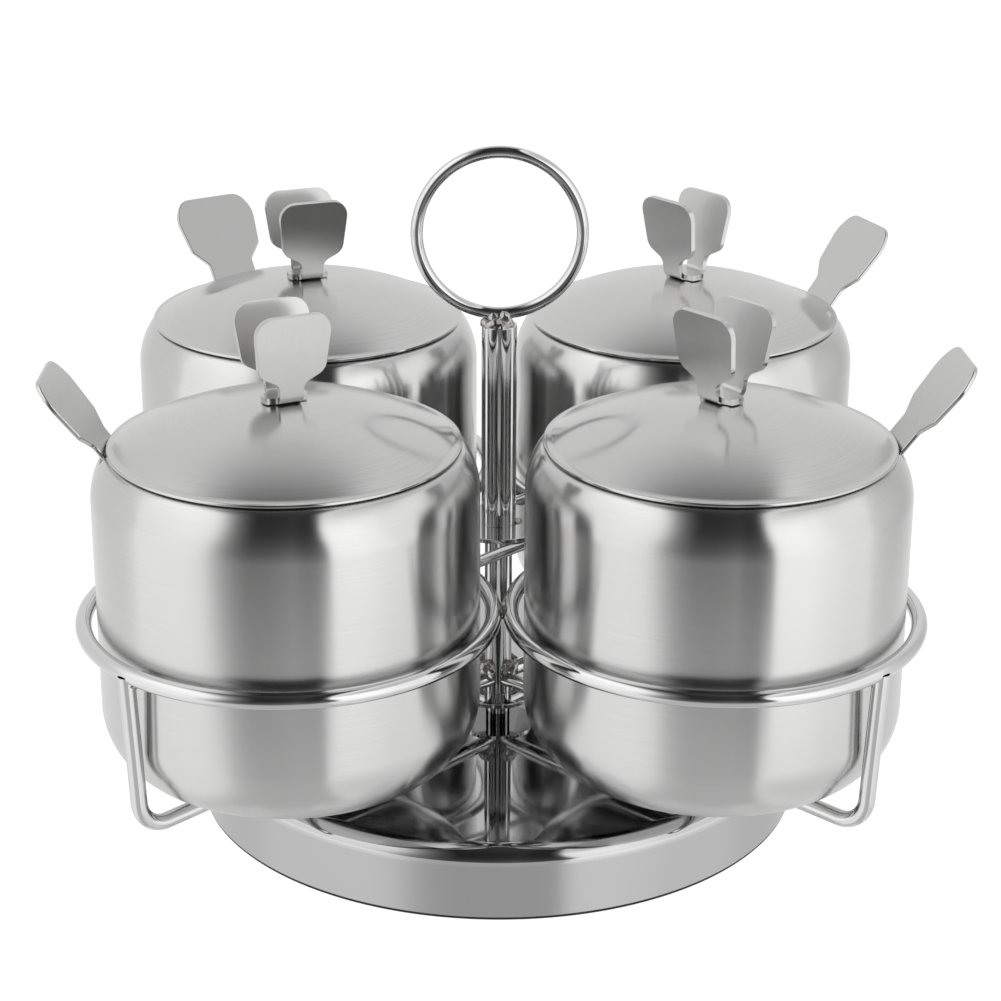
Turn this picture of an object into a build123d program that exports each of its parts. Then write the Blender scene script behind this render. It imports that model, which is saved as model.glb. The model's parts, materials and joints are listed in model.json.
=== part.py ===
from build123d import *
import math

# Spice jar set: four lidded steel jars, each with a spoon, in a wire rack that turns on a round base.
# Millimetres, +Z up. The origin is on the turning axis, where the foot ring meets the table.

# Wire rack
WIRE_D = 4.0
TIE_WIRE_D = 3.0
RING_HEIGHT = 69.4
ARM_HEIGHT = 28.3
LEG_BEND_R = 8.0
LEG_OUT = 0.6
LEG_SPLAY = 2.2
TIE_OFFSET = 11.0
TIE_RAISE = 0.5

# Turning post and carrying ring
SPINDLE_D = 4.4
LOWER_TUBE_R = 3.6
UPPER_TUBE_R = 4.5
UPPER_TUBE_WALL = 0.6
UPPER_TUBE_TOP = 126.5
DISC_SHEET = 1.2
LOWER_DISC_R = 10.0
MIDDLE_DISC_R = 13.0
HANDLE_R = 20.8
HANDLE_WIRE_D = 3.1
HANDLE_STAND_OFF = 1.35
HANDLE_WELD_R = 5.4
HANDLE_WELD_BELOW = 4.6
HANDLE_WELD_ABOVE = 2.6
BUSH_R = 3.2
COLLAR_R = 3.5
COLLAR_HEIGHT = 2.5
SPINDLE_TIP = 1.0
SPINDLE_TAIL = 1.2
SPINDLE_CHAMFER = 0.5
WASHER_R = 9.0
WASHER_SHEET = 1.0
NUT_FLATS = 8.0
NUT_HEIGHT = 4.0

# Base
BASE_R = 79.6
BASE_HEIGHT = 19.0
BASE_SHEET = 1.0
BASE_TAPER = 0.6
BASE_SHOULDER_R = 4.5
FOOT_LIP = 0.8
FOOT_HEIGHT = 5.0
FOOT_WIDTH = 4.4
FOOT_INSET = 0.3

# Jars
JAR_R = 46.2
JAR_HEIGHT = 82.0
JAR_SHEET = 0.8
JAR_CORNER_R = 18.0
JAR_SHOULDER_R = 18.0
JAR_SHOULDER_TURN = 35.0
JAR_RIM_ROLL_R = 2.8
JAR_MOUTH_R = 39.4

# Lids and their knobs
LID_R = 42.0
LID_SHEET = 0.8
LID_RISE = 10.3
LID_FLANGE = 1.2
SKIRT_DROP = 5.0
SKIRT_SHEET = 0.8
KNOB_SHEET = 1.5
KNOB_BASE = 9.8
KNOB_HEIGHT = 22.5
KNOB_LEAN = 8.5
KNOB_BEND_R = 1.2
KNOB_MIDDLE_R = 5.5
KNOB_NECK_HALF = 3.0
KNOB_NECK_HEIGHT = 5.4
KNOB_NECK_FILLET = 2.6
KNOB_SHOULDER_HALF = 8.3
KNOB_SHOULDER_HEIGHT = 8.2
KNOB_SHOULDER_FILLET = 3.5
KNOB_TOP_HALF = 9.8
KNOB_CORNER_R = 4.2

# Spoons
SPOON_SHEET = 1.2
SPOON_LEAN = 53.0
SPOON_NECK = 13.5
SPOON_NECK_LENGTH = 4.0
SPOON_SHOULDER_LENGTH = 4.5
SPOON_PADDLE_START = 21.4
SPOON_PADDLE = 24.4
SPOON_WIDEST_AT = 19.0
SPOON_TIP = 18.6
SPOON_OUTSIDE = 24.6
SPOON_SIDE_R = 8.0
SPOON_TIP_R = 4.5
SPOON_FILLET_R = 2.2
SPOON_STEM = 9.0
SPOON_BOWL_WIDTH = 19.0
SPOON_BOWL_LENGTH = 26.0
SPOON_BOWL_DEPTH = 4.2
SPOON_BOWL_SHEET = 1.0
NOTCH_SIDE_GAP = 1.0
NOTCH_DEPTH = 2.4
SKIRT_NOTCH_HEIGHT = 2.6

# Clearances and seats
SEAT_GAP = 0.3
JAR_RING_GAP = 1.3
SKIRT_GAP = 0.3
SPINDLE_FIT = 0.06
PRESS_FIT = 0.02
RUN_GAP = 0.1
WELD_SEAT = 0.1
ARM_DISC_GAP = 2.1
SPOON_RIM_GAP = 0.35

# Beads left by the welder
RING_BEAD_R = 2.6
RING_BEAD_RAISE = 1.0
LEG_BEAD_R = 2.8
LEG_BEAD_DROP = 0.7
ARM_BEAD_R = 2.8
ARM_BEAD_OUT = 0.6
ARM_BEAD_RAISE = 2.5
TACK_R = 1.3

# Where each jar stands. Its spoon's direction and its knob's turn are in degrees from +X, and the last
# value is how much deeper than the others its spoon stands
JARS = {
    "front_left": (-1, -1, 179.0, 115.0, 3.3),
    "front_right": (1, -1, 3.0, 41.0, 0.0),
    "back_left": (-1, 1, 122.0, 110.0, 0.0),
    "back_right": (1, 1, 22.0, 40.0, 0.0),
}

# Places worked out from the sizes above
wire_r = WIRE_D / 2
tie_r = TIE_WIRE_D / 2
ring_r = JAR_R + JAR_RING_GAP + wire_r
half_pitch = ring_r + wire_r
jar_reach = half_pitch * math.sqrt(2)
leg_reach = jar_reach + ring_r + LEG_OUT
jar_floor = ARM_HEIGHT + wire_r + SEAT_GAP
jar_mouth = jar_floor + JAR_HEIGHT
lid_seat = jar_mouth + SEAT_GAP
lid_top = lid_seat + LID_SHEET + LID_RISE
tie_height = RING_HEIGHT + TIE_RAISE
spindle_r = SPINDLE_D / 2
lower_tube_z = ARM_HEIGHT - wire_r - ARM_DISC_GAP
lower_disc_z = lower_tube_z - DISC_SHEET
bush_top = lower_disc_z - RUN_GAP
middle_disc_z = tie_height + tie_r
upper_tube_z = middle_disc_z + DISC_SHEET
collar_z = upper_tube_z + SEAT_GAP
plate_underside = BASE_HEIGHT - BASE_SHEET
nut_z = plate_underside - WASHER_SHEET - NUT_HEIGHT
handle_z = UPPER_TUBE_TOP + HANDLE_STAND_OFF + HANDLE_R + HANDLE_WIRE_D / 2


def turned(*edges):
    """Turn an outline of edges, given as radius and height, into a solid about the Z axis."""
    return revolve(Plane.XZ * make_face(list(edges)), Axis.Z)


def pipe(outer, bore, low, high):
    """Upright round pipe about the Z axis."""
    body = Cylinder(outer, high - low) - Cylinder(bore, high - low)
    return Pos(0, 0, (low + high) / 2) * body


def along_x(radius, start, end, side, height):
    """Round wire that runs along X at a given side step and height."""
    wire = Rot(0, 90, 0) * Cylinder(radius, end - start)
    return Pos((start + end) / 2, side, height) * wire


def jar_place(name):
    """Centre of a jar on the rack."""
    side, depth = JARS[name][0], JARS[name][1]
    return Pos(side * half_pitch, depth * half_pitch, 0)


def diagonal(name):
    """Turn from +X to the line from the post to a jar's centre."""
    side, depth = JARS[name][0], JARS[name][1]
    return math.degrees(math.atan2(depth, side))


def save(node, shape):
    """Write one named piece."""
    export_step(shape, "parts/" + node + ".step")


# Base: pressed pan turned upside down, with a rubber ring under its edge
def base_shell():
    top_r = BASE_R - BASE_TAPER
    bend = top_r - BASE_SHOULDER_R
    crease = BASE_HEIGHT - BASE_SHOULDER_R
    hole = spindle_r + RUN_GAP
    inner_bend = BASE_SHOULDER_R - BASE_SHEET
    return turned(
        Line((BASE_R, FOOT_LIP), (top_r, crease)),
        CenterArc((bend, crease), BASE_SHOULDER_R, 0, 90),
        Line((bend, BASE_HEIGHT), (hole, BASE_HEIGHT)),
        Line((hole, BASE_HEIGHT), (hole, plate_underside)),
        Line((hole, plate_underside), (bend, plate_underside)),
        CenterArc((bend, crease), inner_bend, 0, 90),
        Line((top_r - BASE_SHEET, crease), (BASE_R - BASE_SHEET, FOOT_LIP)),
        Line((BASE_R - BASE_SHEET, FOOT_LIP), (BASE_R, FOOT_LIP)),
    )


def foot_ring():
    lip_r = BASE_R - FOOT_INSET
    wall_r = BASE_R - BASE_SHEET - BASE_TAPER - RUN_GAP
    inner = wall_r - FOOT_WIDTH
    return turned(*Polyline(
        (inner, 0),
        (lip_r, 0),
        (lip_r, FOOT_LIP),
        (wall_r, FOOT_LIP),
        (wall_r, FOOT_HEIGHT),
        (inner, FOOT_HEIGHT),
        close=True,
    ).edges())


# Fixed parts of the turning joint
def spindle():
    low = nut_z - SPINDLE_TAIL
    high = collar_z + COLLAR_HEIGHT + SPINDLE_TIP
    rod = Pos(0, 0, (low + high) / 2) * Cylinder(spindle_r, high - low)
    return chamfer(rod.edges().sort_by(Axis.Z)[-1], SPINDLE_CHAMFER)


def spindle_nut():
    across_corners = NUT_FLATS / math.cos(math.radians(30))
    blank = extrude(RegularPolygon(across_corners / 2, 6), NUT_HEIGHT)
    bored = blank - Pos(0, 0, NUT_HEIGHT / 2) * Cylinder(spindle_r + PRESS_FIT, NUT_HEIGHT)
    return Pos(0, 0, nut_z) * bored


def fixed_pipe(outer, low, high):
    """Bush, washer or collar held on the spindle."""
    return pipe(outer, spindle_r + PRESS_FIT, low, high)


# Post of the rack: two discs and two tubes that turn round the spindle
def running_pipe(outer, low, high):
    """Disc or tube that turns round the spindle."""
    return pipe(outer, spindle_r + SPINDLE_FIT, low, high)


def upper_tube():
    return pipe(UPPER_TUBE_R, UPPER_TUBE_R - UPPER_TUBE_WALL, upper_tube_z, UPPER_TUBE_TOP)


def handle_ring():
    return Pos(0, 0, handle_z) * Rot(90, 0, 0) * Torus(HANDLE_R, HANDLE_WIRE_D / 2)


def handle_weld():
    """Bead that fills the step between the top of the tube and the carrying ring."""
    low = UPPER_TUBE_TOP - HANDLE_WELD_BELOW
    waist = UPPER_TUBE_TOP - HANDLE_WELD_BELOW / 2
    high = UPPER_TUBE_TOP + HANDLE_STAND_OFF + HANDLE_WELD_ABOVE
    shoulder = UPPER_TUBE_TOP + HANDLE_STAND_OFF
    core = UPPER_TUBE_R - UPPER_TUBE_WALL
    outline = Polyline(
        (0, UPPER_TUBE_TOP),
        (UPPER_TUBE_R, UPPER_TUBE_TOP),
        (UPPER_TUBE_R, low),
    )
    skin = Spline(
        (UPPER_TUBE_R, low),
        (HANDLE_WELD_R, waist),
        (core, shoulder),
        (HANDLE_WIRE_D / 2, high),
    )
    close = Line((HANDLE_WIRE_D / 2, high), (0, high))
    axis = Line((0, high), (0, UPPER_TUBE_TOP))
    bead = turned(*outline.edges(), *skin.edges(), *close.edges(), *axis.edges())
    return bead - handle_ring()


# Wire work of the rack
def ring_place(name):
    return jar_place(name) * Pos(0, 0, RING_HEIGHT)


def holder_ring(name):
    return ring_place(name) * Torus(ring_r, wire_r)


def post_core():
    """Space taken by the lower tube."""
    height = middle_disc_z - lower_tube_z
    return Pos(0, 0, lower_tube_z + height / 2) * Cylinder(LOWER_TUBE_R, height)


def leg_wire(name):
    """Bent wire from under a holder ring, down and in below the jar to the lower tube."""
    route = FilletPolyline(
        (0, 0, ARM_HEIGHT),
        (leg_reach - LEG_SPLAY, 0, ARM_HEIGHT),
        (leg_reach, 0, RING_HEIGHT),
        radius=LEG_BEND_R,
    )
    section = Plane(origin=(0, 0, ARM_HEIGHT), z_dir=(1, 0, 0)) * Circle(wire_r)
    wire = Rot(0, 0, diagonal(name)) * sweep(section, path=route)
    return wire - holder_ring(name) - post_core()


def tie_wire(side):
    """Straight wire between the front left and the back right holder rings."""
    turn = Rot(0, 0, diagonal("back_right"))
    reach = jar_reach - math.sqrt(ring_r ** 2 - TIE_OFFSET ** 2)
    wire = turn * along_x(tie_r, -reach, reach, side * TIE_OFFSET, tie_height)
    return wire - holder_ring("front_left") - holder_ring("back_right")


def half_ball(radius):
    """Half of a ball that stands on its flat face."""
    return Sphere(radius, arc_size1=0, align=(Align.CENTER, Align.CENTER, Align.MIN))


def ring_welds():
    """Bead on top of each place where two holder rings touch."""
    solids = []
    low = RING_HEIGHT + RING_BEAD_RAISE
    places = [
        (0, -half_pitch, "front_left", "front_right"),
        (0, half_pitch, "back_left", "back_right"),
        (-half_pitch, 0, "front_left", "back_left"),
        (half_pitch, 0, "front_right", "back_right"),
    ]
    for x, y, one, other in places:
        bead = Pos(x, y, low) * half_ball(RING_BEAD_R) - holder_ring(one) - holder_ring(other)
        solids.extend(bead.solids())
    return Compound(solids)


def leg_welds():
    """Collar bead where each leg wire meets the underside of its ring."""
    solids = []
    for name in JARS:
        low = RING_HEIGHT - wire_r - LEG_BEAD_DROP
        ball = Rot(0, 0, diagonal(name)) * Pos(leg_reach, 0, low) * Sphere(LEG_BEAD_R)
        bead = ball - leg_wire(name) - holder_ring(name)
        solids.extend(bead.solids())
    return Compound(solids)


def arm_welds():
    """Bead on each arm where it meets the lower tube."""
    solids = []
    for name in JARS:
        spot = Pos(LOWER_TUBE_R + ARM_BEAD_OUT, 0, ARM_HEIGHT + ARM_BEAD_RAISE)
        ball = Rot(0, 0, diagonal(name)) * spot * Sphere(ARM_BEAD_R)
        bead = ball - leg_wire(name) - post_core()
        solids.extend(bead.solids())
    return Compound(solids)


def disc_tack():
    """Tack beside the upper tube on the middle disc."""
    tube = Pos(0, 0, upper_tube_z) * Cylinder(UPPER_TUBE_R, 4 * TACK_R)
    return Pos(UPPER_TUBE_R, 0, upper_tube_z) * half_ball(TACK_R) - tube


# Jars
def jar_wall(depth):
    """Edges of the jar's wall at a depth below its outer face, from the axis to the mouth."""
    turn = math.radians(JAR_SHOULDER_TURN)
    corner = JAR_CORNER_R
    shoulder = JAR_SHOULDER_R
    roll = JAR_RIM_ROLL_R
    rise = shoulder * math.sin(turn) + roll * (1 - math.sin(turn))
    start = JAR_HEIGHT - rise
    roll_x = JAR_R - shoulder + (shoulder - roll) * math.cos(turn)
    roll_z = start + (shoulder - roll) * math.sin(turn)
    return [
        Line((0, depth), (JAR_R - corner, depth)),
        CenterArc((JAR_R - corner, corner), corner - depth, -90, 90),
        Line((JAR_R - depth, corner), (JAR_R - depth, start)),
        CenterArc((JAR_R - shoulder, start), shoulder - depth, 0, JAR_SHOULDER_TURN),
        CenterArc((roll_x, roll_z), roll - depth, JAR_SHOULDER_TURN, 90 - JAR_SHOULDER_TURN),
        Line((roll_x, JAR_HEIGHT - depth), (JAR_MOUTH_R, JAR_HEIGHT - depth)),
    ]


def jar_body(name):
    """Drawn cup with a rolled shoulder and a notch in the mouth for the spoon."""
    lip = Line((JAR_MOUTH_R, JAR_HEIGHT), (JAR_MOUTH_R, JAR_HEIGHT - JAR_SHEET))
    axis = Line((0, 0), (0, JAR_SHEET))
    cup = turned(*jar_wall(0), *jar_wall(JAR_SHEET), lip, axis)
    width = SPOON_NECK + 2 * NOTCH_SIDE_GAP
    span = 2 * (JAR_R - JAR_MOUTH_R)
    notch = Pos(JAR_R, 0, JAR_HEIGHT) * Box(2 * span, width, 2 * NOTCH_DEPTH)
    cup = cup - Rot(0, 0, JARS[name][2]) * notch
    return jar_place(name) * Pos(0, 0, jar_floor) * cup


# Lids
dome_edge_r = LID_R - LID_FLANGE
dome_r = (dome_edge_r ** 2 + LID_RISE ** 2) / (2 * LID_RISE)
dome_z = LID_SHEET + LID_RISE - dome_r


def lid(name):
    """Domed lid with a narrow flat flange and a rounded edge."""
    inner_r = dome_r - LID_SHEET
    outer_half = math.degrees(math.asin(dome_edge_r / dome_r))
    inner_half = math.degrees(math.acos(-dome_z / inner_r))
    inner_edge = math.sqrt(inner_r ** 2 - dome_z ** 2)
    round_r = LID_SHEET / 2
    shell = turned(
        CenterArc((0, dome_z), dome_r, 90 - outer_half, outer_half),
        Line((dome_edge_r, LID_SHEET), (LID_R - round_r, LID_SHEET)),
        CenterArc((LID_R - round_r, round_r), round_r, -90, 180),
        Line((LID_R - round_r, 0), (inner_edge, 0)),
        CenterArc((0, dome_z), inner_r, 90 - inner_half, inner_half),
        Line((0, dome_z + inner_r), (0, dome_z + dome_r)),
    )
    return jar_place(name) * Pos(0, 0, lid_seat) * shell


def lid_skirt(name):
    """Ring inside the lid that centres it in the jar's mouth, open where the spoon passes."""
    outer = JAR_MOUTH_R - SKIRT_GAP
    ring = pipe(outer, outer - SKIRT_SHEET, -SKIRT_DROP, LID_RISE)
    ring = ring & Pos(0, 0, dome_z) * Sphere(dome_r - LID_SHEET - WELD_SEAT)
    width = SPOON_NECK + 2 * NOTCH_SIDE_GAP
    notch = Pos(outer, 0, -SKIRT_DROP) * Box(4 * SKIRT_SHEET, width, 2 * SKIRT_NOTCH_HEIGHT)
    ring = ring - Rot(0, 0, JARS[name][2]) * notch
    return jar_place(name) * Pos(0, 0, lid_seat) * ring


def lid_knob(name):
    """Blank with a round middle and narrow necks, bent up into two flared paddles on the lid's crown."""
    half = KNOB_BASE / 2
    spread = KNOB_HEIGHT * math.tan(math.radians(KNOB_LEAN))
    sheet = KNOB_SHEET / math.cos(math.radians(KNOB_LEAN))
    rise = KNOB_SHEET * math.tan(math.radians(KNOB_LEAN))
    outside = FilletPolyline(
        (-half - spread, KNOB_HEIGHT),
        (-half, 0),
        (half, 0),
        (half + spread, KNOB_HEIGHT),
        radius=[0, KNOB_BEND_R + KNOB_SHEET, KNOB_BEND_R + KNOB_SHEET, 0],
        close=True,
    )
    inside = FilletPolyline(
        (-half - spread + sheet, KNOB_HEIGHT),
        (-half + sheet - rise, KNOB_SHEET),
        (half - sheet + rise, KNOB_SHEET),
        (half + spread - sheet, KNOB_HEIGHT),
        radius=[0, KNOB_BEND_R, KNOB_BEND_R, 0],
        close=True,
    )
    side_view = make_face(outside.edges()) - make_face(inside.edges())
    strip = extrude(Plane.XZ * side_view, KNOB_TOP_HALF, both=True)
    front_view = FilletPolyline(
        (-KNOB_NECK_HALF, -KNOB_SHEET),
        (KNOB_NECK_HALF, -KNOB_SHEET),
        (KNOB_NECK_HALF, KNOB_NECK_HEIGHT),
        (KNOB_SHOULDER_HALF, KNOB_SHOULDER_HEIGHT),
        (KNOB_TOP_HALF, KNOB_HEIGHT),
        (-KNOB_TOP_HALF, KNOB_HEIGHT),
        (-KNOB_SHOULDER_HALF, KNOB_SHOULDER_HEIGHT),
        (-KNOB_NECK_HALF, KNOB_NECK_HEIGHT),
        radius=[
            0,
            0,
            KNOB_NECK_FILLET,
            KNOB_SHOULDER_FILLET,
            KNOB_CORNER_R,
            KNOB_CORNER_R,
            KNOB_SHOULDER_FILLET,
            KNOB_NECK_FILLET,
        ],
        close=True,
    )
    mask = extrude(Plane.YZ * make_face(front_view.edges()), half + spread, both=True)
    flat = half - KNOB_BEND_R - KNOB_SHEET
    middle = extrude(Circle(KNOB_MIDDLE_R) & Rectangle(2 * flat, 2 * KNOB_TOP_HALF), KNOB_SHEET)
    place = Pos(0, 0, lid_top + WELD_SEAT) * Rot(0, 0, JARS[name][3])
    return jar_place(name) * place * ((strip & mask) + middle)


# Spoons
lean = math.radians(SPOON_LEAN)
lid_edge_r = LID_SHEET / 2
spoon_step = SPOON_SHEET / 2 + SPOON_RIM_GAP + lid_edge_r * (1 + math.cos(lean))
spoon_r = LID_R - lid_edge_r + spoon_step / math.sin(lean)
spoon_z = lid_seat + LID_SHEET
spoon_drop = spoon_z - jar_floor - JAR_SHEET - SEAT_GAP - SPOON_SHEET * math.cos(lean) / 2
deepest = max(stands[4] for stands in JARS.values())
spoon_inside = spoon_drop / math.sin(lean) - deepest


def spoon(name):
    """Stamped spoon: paddle grip outside, straight stem inside and a dished oval bowl at its end."""
    neck = SPOON_NECK / 2
    stem = SPOON_STEM / 2
    bowl_x = SPOON_BOWL_LENGTH / 2 - spoon_inside
    shoulder = SPOON_NECK_LENGTH + SPOON_SHOULDER_LENGTH
    outline = FilletPolyline(
        (bowl_x, -stem),
        (-SPOON_OUTSIDE, -neck),
        (SPOON_NECK_LENGTH, -neck),
        (shoulder, -SPOON_PADDLE_START / 2),
        (SPOON_WIDEST_AT, -SPOON_PADDLE / 2),
        (SPOON_OUTSIDE, -SPOON_TIP / 2),
        (SPOON_OUTSIDE, SPOON_TIP / 2),
        (SPOON_WIDEST_AT, SPOON_PADDLE / 2),
        (shoulder, SPOON_PADDLE_START / 2),
        (SPOON_NECK_LENGTH, neck),
        (-SPOON_OUTSIDE, neck),
        (bowl_x, stem),
        radius=[
            0,
            0,
            SPOON_FILLET_R,
            SPOON_FILLET_R,
            SPOON_SIDE_R,
            SPOON_TIP_R,
            SPOON_TIP_R,
            SPOON_SIDE_R,
            SPOON_FILLET_R,
            SPOON_FILLET_R,
            0,
            0,
        ],
        close=True,
    )
    plate = extrude(make_face(outline.edges()), SPOON_SHEET / 2, both=True)
    half_width = SPOON_BOWL_WIDTH / 2
    ball_r = (half_width ** 2 + SPOON_BOWL_DEPTH ** 2) / (2 * SPOON_BOWL_DEPTH)
    top = SPOON_SHEET / 2
    ball_z = top + ball_r - SPOON_BOWL_DEPTH
    below = Pos(0, 0, top - ball_r) * Box(4 * ball_r, 4 * ball_r, 2 * ball_r)
    stretch = (SPOON_BOWL_LENGTH / SPOON_BOWL_WIDTH, 1, 1)
    outer = scale(Pos(0, 0, ball_z) * Sphere(ball_r) & below, by=stretch)
    inner = scale(Pos(0, 0, ball_z) * Sphere(ball_r - SPOON_BOWL_SHEET), by=stretch)
    blank = plate + Pos(bowl_x, 0, 0) * outer
    blank = blank - Pos(bowl_x, 0, 0) * inner
    slope = Pos(spoon_r, 0, spoon_z) * Rot(0, -SPOON_LEAN, 0) * Pos(-JARS[name][4], 0, 0)
    return jar_place(name) * Rot(0, 0, JARS[name][2]) * slope * blank


save("base_shell", base_shell())
save("foot_ring", foot_ring())
save("spindle", spindle())
save("spindle_nut", spindle_nut())
save("spindle_washer", fixed_pipe(WASHER_R, plate_underside - WASHER_SHEET, plate_underside))
save("pivot_bush", fixed_pipe(BUSH_R, BASE_HEIGHT, bush_top))
save("spindle_collar", fixed_pipe(COLLAR_R, collar_z, collar_z + COLLAR_HEIGHT))

save("lower_disc", running_pipe(LOWER_DISC_R, lower_disc_z, lower_tube_z))
save("lower_tube", running_pipe(LOWER_TUBE_R, lower_tube_z, middle_disc_z))
save("middle_disc", running_pipe(MIDDLE_DISC_R, middle_disc_z, upper_tube_z))
save("upper_tube", upper_tube())
save("handle_ring", handle_ring())
save("handle_weld", handle_weld())
save("tie_wire_front", tie_wire(-1))
save("tie_wire_back", tie_wire(1))
save("ring_welds", ring_welds())
save("leg_welds", leg_welds())
save("arm_welds", arm_welds())
save("disc_tack", disc_tack())

for jar in JARS:
    save("holder_ring_" + jar, holder_ring(jar))
    save("leg_wire_" + jar, leg_wire(jar))
    save("jar_" + jar, jar_body(jar))
    save("lid_" + jar, lid(jar))
    save("lid_skirt_" + jar, lid_skirt(jar))
    save("lid_knob_" + jar, lid_knob(jar))
    save("spoon_" + jar, spoon(jar))
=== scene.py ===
import json
import math

import bmesh
import bpy
from mathutils import Matrix, Vector, noise


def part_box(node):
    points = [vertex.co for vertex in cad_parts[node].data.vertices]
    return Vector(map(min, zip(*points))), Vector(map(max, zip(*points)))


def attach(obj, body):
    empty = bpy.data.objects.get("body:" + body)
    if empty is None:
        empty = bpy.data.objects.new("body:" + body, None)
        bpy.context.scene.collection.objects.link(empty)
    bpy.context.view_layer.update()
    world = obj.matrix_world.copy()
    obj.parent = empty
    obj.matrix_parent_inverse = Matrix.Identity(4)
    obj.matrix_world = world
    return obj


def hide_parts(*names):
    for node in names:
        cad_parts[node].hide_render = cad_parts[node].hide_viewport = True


# Spice jar set: four lidded steel jars with spoons, in a wire rack that turns on a round base.
# Metres, +Z up. Small sizes are written in millimetres and multiplied by MM.
MM = 0.001
CORNERS = ("front_left", "front_right", "back_left", "back_right")

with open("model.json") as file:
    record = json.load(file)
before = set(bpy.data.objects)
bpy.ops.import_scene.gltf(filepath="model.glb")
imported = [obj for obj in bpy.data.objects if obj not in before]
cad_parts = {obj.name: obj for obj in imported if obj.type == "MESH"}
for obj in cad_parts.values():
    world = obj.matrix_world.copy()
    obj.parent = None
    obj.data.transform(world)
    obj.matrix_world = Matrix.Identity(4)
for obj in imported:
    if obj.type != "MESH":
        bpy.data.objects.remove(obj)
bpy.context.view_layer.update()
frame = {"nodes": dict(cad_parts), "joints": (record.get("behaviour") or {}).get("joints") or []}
joints = {joint["name"]: joint for joint in frame["joints"]}

# How finely round pieces are turned
BASE_STEPS = 256
ROUND_STEPS = 192
DISC_STEPS = 96
SMALL_STEPS = 64
WIRE_SIDES = 24
# Points nearer than this are taken as one
MERGE = 0.001 * MM

# Jar wall
JAR_SHEET = 0.8 * MM
JAR_CORNER_R = 18.0 * MM
JAR_SHOULDER_R = 18.0 * MM
JAR_SHOULDER_TURN = math.radians(35.0)
JAR_RIM_ROLL_R = 2.8 * MM
JAR_MOUTH_R = 39.4 * MM
NOTCH_WIDTH = 15.5 * MM
NOTCH_DEPTH = 2.4 * MM

# Lid
LID_SHEET = 0.8 * MM
LID_FLANGE = 1.2 * MM
LID_EDGE_ROUND = 0.3 * MM

# Locating ring inside a lid
SKIRT_SHEET = 0.8 * MM
SKIRT_NOTCH_HEIGHT = 2.6 * MM
SKIRT_TOP_GAP = 0.2 * MM
SKIRT_EDGE_ROUND = 0.12 * MM

# Knob blank: round middle, narrow necks, flared paddles. Its side is drawn as height and half width
KNOB_SHEET = 1.5 * MM
KNOB_HALF_BASE = 4.9 * MM
KNOB_LEAN = math.radians(8.5)
KNOB_BEND_R = 1.95 * MM
KNOB_MIDDLE_R = 5.5 * MM
KNOB_MIDDLE_FLAT = 2.2 * MM
KNOB_NECK = 3.0 * MM
KNOB_SIDE = ((0.0, 3.0), (5.4, 3.0), (8.2, 8.3), (22.5, 9.8), (22.5, 0.0))
KNOB_SIDE_ROUNDS = (2.6, 3.5, 4.2)
KNOB_NECK_STEPS = ((0.12 * MM, 0.8 * MM), (0.5 * MM, 0.0))
KNOB_BEND_CUTS = 10
KNOB_TURN = {"front_left": 115.0, "front_right": 41.0, "back_left": 110.0, "back_right": 40.0}

# Spoon blank, measured outwards from where it passes the lid, as length and half width
SPOON_SHEET = 1.2 * MM
SPOON_SIDE = (
    (-86.0, 4.5), (-24.6, 6.75), (4.0, 6.75), (8.5, 10.7), (19.0, 12.2), (24.6, 9.3), (24.6, 0.0),
)
SPOON_SIDE_ROUNDS = (0.0, 2.2, 2.2, 8.0, 4.5)
SPOON_OUTSIDE = 24.6 * MM
SPOON_INSIDE = 98.9 * MM
BOWL_HALF = (13.0 * MM, 9.5 * MM)
BOWL_DEPTH = 4.2 * MM
BOWL_SIDES = 38
BOWL_RINGS = 8
# Sides of the bowl that the stem takes up, each way from its middle
BOWL_JOIN_SIDES = 3.1
SPOON_EDGE_ROUND = 0.4 * MM

# Leg wires: the bend, how far the top stands out past the ring's wire, and how far the leg leans
LEG_BEND_R = 8.0 * MM
LEG_OUT = 0.6 * MM
LEG_SPLAY = 2.2 * MM
ARM_RUNS = 6
LEG_RUNS = 4
LEG_BEND_STEPS = 16

# Base pan and its rubber foot
BASE_SHEET = 1.0 * MM
BASE_SHOULDER = 4.5 * MM
BASE_TAPER = 0.6 * MM
BASE_HOLE_R = 2.3 * MM
BASE_EDGE_ROUND = 0.2 * MM
FOOT_DEPTH = 5.8 * MM
FOOT_WALL = 1.4 * MM
FOOT_LIP = 0.8 * MM

# Bores and tube wall of the post
SPINDLE_BORE_R = 2.26 * MM
TUBE_SHEET = 0.6 * MM

# Weld beads: half sizes in millimetres, out from the post, across and up
RING_BEAD = (2.4, 1.5, 2.0)
LEG_BEAD = (1.9, 2.3, 1.5)
ARM_BEAD = (2.0, 2.5, 3.0)
DISC_BEAD = (1.3, 1.5, 0.8)
BEAD_ROUGH = 0.25
BEAD_SWELL_SCALE = 1.7
BEAD_RIPPLE_SCALE = 4.1
BEAD_RIPPLE = 0.35
# Where the beads sit against the wires that they join
RING_BEAD_RISE = 0.6 * MM
LEG_BEAD_IN = 0.9 * MM
LEG_BEAD_DROP = 0.5 * MM
ARM_BEAD_OUT = 4.3 * MM
ARM_BEAD_DROP = 0.4 * MM
DISC_BEAD_ASIDE = 0.2 * MM
# Lumps of the handle's weld: sideways, up, half sizes, seed and how lumpy
HANDLE_LUMPS = (
    (0.0, -0.6, (4.1, 4.0, 4.2), 31.0, 0.3),
    (1.2, 2.4, (2.3, 2.3, 2.2), 35.0, BEAD_ROUGH),
    (-1.4, 2.0, (2.2, 2.3, 2.1), 38.0, BEAD_ROUGH),
)

# Rounding of edges
EDGE_ROUND = 0.18 * MM
SHEET_EDGE_ROUND = 0.58 * MM


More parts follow.
